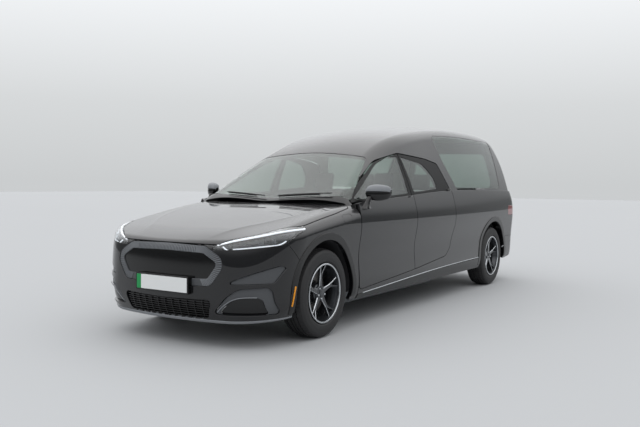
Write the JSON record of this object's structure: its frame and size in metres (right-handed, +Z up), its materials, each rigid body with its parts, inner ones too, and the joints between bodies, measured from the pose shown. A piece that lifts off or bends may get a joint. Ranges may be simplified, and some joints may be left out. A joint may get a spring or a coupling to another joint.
{
  "type": "hearse",
  "caption": "Long-roofed electric hearse with glazed deck sides; wheels roll and steer, and the doors, bonnet and tailgate open.",
  "frame": {"origin": "on the ground under the middle of the body", "axes": "+X to the car's left side, the nose faces -Y, +Z up"},
  "size_m": [2.092, 5.8977, 1.9528],
  "materials": {
    "paint": "gloss black paint",
    "glass": "tinted",
    "tyre": "matt",
    "alloy": "dark satin with bright edges",
    "black_plastic": "grained",
    "gloss_black": "gloss",
    "satin_trim": "satin",
    "lamp": "clear",
    "lamp_red": "gloss",
    "plate": "satin",
    "steel": "painted",
    "trim": "grained",
    "deck_wood": "satin lacquer",
    "bright": "polished"
  },
  "bodies": {
    "root": {"battery_pack": "steel", "body_shell": "paint", "dashboard": "trim", "deck_board": "deck_wood", "deck_rollers": "bright", "deck_windows": "glass", "drive_motors": "steel", "floor_pan": "black_plastic", "front_bumper": "paint", "front_lip": "satin_trim", "front_plate": "plate", "front_seats": "trim", "front_subframe": "steel", "front_tub": "black_plastic", "front_wings": "paint", "grille_panel": "gloss_black", "headlamps": "lamp", "lower_grille": "black_plastic", "rear_bench": "trim", "rear_bumper": "paint", "rear_subframe": "steel", "roof_shell": "paint", "side_skirts": "black_plastic", "steering_wheel": "trim", "tail_lamps": "lamp_red", "wheel_liners": "black_plastic", "windscreen": "glass"},
    "bonnet": {"bonnet": "paint"},
    "tailgate": {"tailgate": "paint", "tailgate_glass": "glass"},
    "door_front_left": {"door_front_left": "paint", "glass_front_left": "glass", "mirror_left": "gloss_black"},
    "door_rear_left": {"door_rear_left": "paint", "glass_rear_left": "glass"},
    "knuckle_left": {"knuckle_left": "steel"},
    "wheel_front_left": {"tyre_front_left": "tyre", "rim_front_left": "alloy"},
    "wheel_rear_left": {"tyre_rear_left": "tyre", "rim_rear_left": "alloy"},
    "door_front_right": {"door_front_right": "paint", "glass_front_right": "glass", "mirror_right": "gloss_black"},
    "door_rear_right": {"door_rear_right": "paint", "glass_rear_right": "glass"},
    "knuckle_right": {"knuckle_right": "steel"},
    "wheel_front_right": {"tyre_front_right": "tyre", "rim_front_right": "alloy"},
    "wheel_rear_right": {"tyre_rear_right": "tyre", "rim_rear_right": "alloy"}
  },
  "joints": [
    {"name": "bonnet_hinge", "type": "hinge", "parent": "root", "child": "bonnet", "pos_m": [0, -1.52, 1.1], "axis": [-1, 0, 0], "range_deg": [0, 55]},
    {"name": "tailgate_hinge", "type": "hinge", "parent": "root", "child": "tailgate", "pos_m": [0, 2.621, 1.86], "axis": [1, 0, 0], "range_deg": [0, 85]},
    {"name": "door_front_left_hinge", "type": "hinge", "parent": "root", "child": "door_front_left", "pos_m": [0.941, -1.471, 0.9], "axis": [0, 0, -1], "range_deg": [0, 65]},
    {"name": "door_rear_left_hinge", "type": "hinge", "parent": "root", "child": "door_rear_left", "pos_m": [0.941, -0.326, 0.9], "axis": [0, 0, -1], "range_deg": [0, 65]},
    {"name": "door_front_right_hinge", "type": "hinge", "parent": "root", "child": "door_front_right", "pos_m": [-0.941, -1.471, 0.9], "axis": [0, 0, 1], "range_deg": [0, 65]},
    {"name": "door_rear_right_hinge", "type": "hinge", "parent": "root", "child": "door_rear_right", "pos_m": [-0.941, -0.326, 0.9], "axis": [0, 0, 1], "range_deg": [0, 65]},
    {"name": "steer_left", "type": "hinge", "parent": "root", "child": "knuckle_left", "pos_m": [0.74, -2.02, 0.364], "axis": [0, 0, 1], "range_deg": [-32, 32]},
    {"name": "spin_front_left", "type": "hinge", "parent": "knuckle_left", "child": "wheel_front_left", "pos_m": [0.7955, -2.02, 0.364], "axis": [1, 0, 0], "continuous": true},
    {"name": "spin_rear_left", "type": "hinge", "parent": "root", "child": "wheel_rear_left", "pos_m": [0.7955, 1.96, 0.364], "axis": [1, 0, 0], "continuous": true},
    {"name": "steer_right", "type": "hinge", "parent": "root", "child": "knuckle_right", "pos_m": [-0.74, -2.02, 0.364], "axis": [0, 0, 1], "range_deg": [-32, 32]},
    {"name": "spin_front_right", "type": "hinge", "parent": "knuckle_right", "child": "wheel_front_right", "pos_m": [-0.7955, -2.02, 0.364], "axis": [1, 0, 0], "continuous": true},
    {"name": "spin_rear_right", "type": "hinge", "parent": "root", "child": "wheel_rear_right", "pos_m": [-0.7955, 1.96, 0.364], "axis": [1, 0, 0], "continuous": true}
  ],
  "couplings": [
    {"joint": "steer_right", "follows": "steer_left", "ratio": 1}
  ]
}
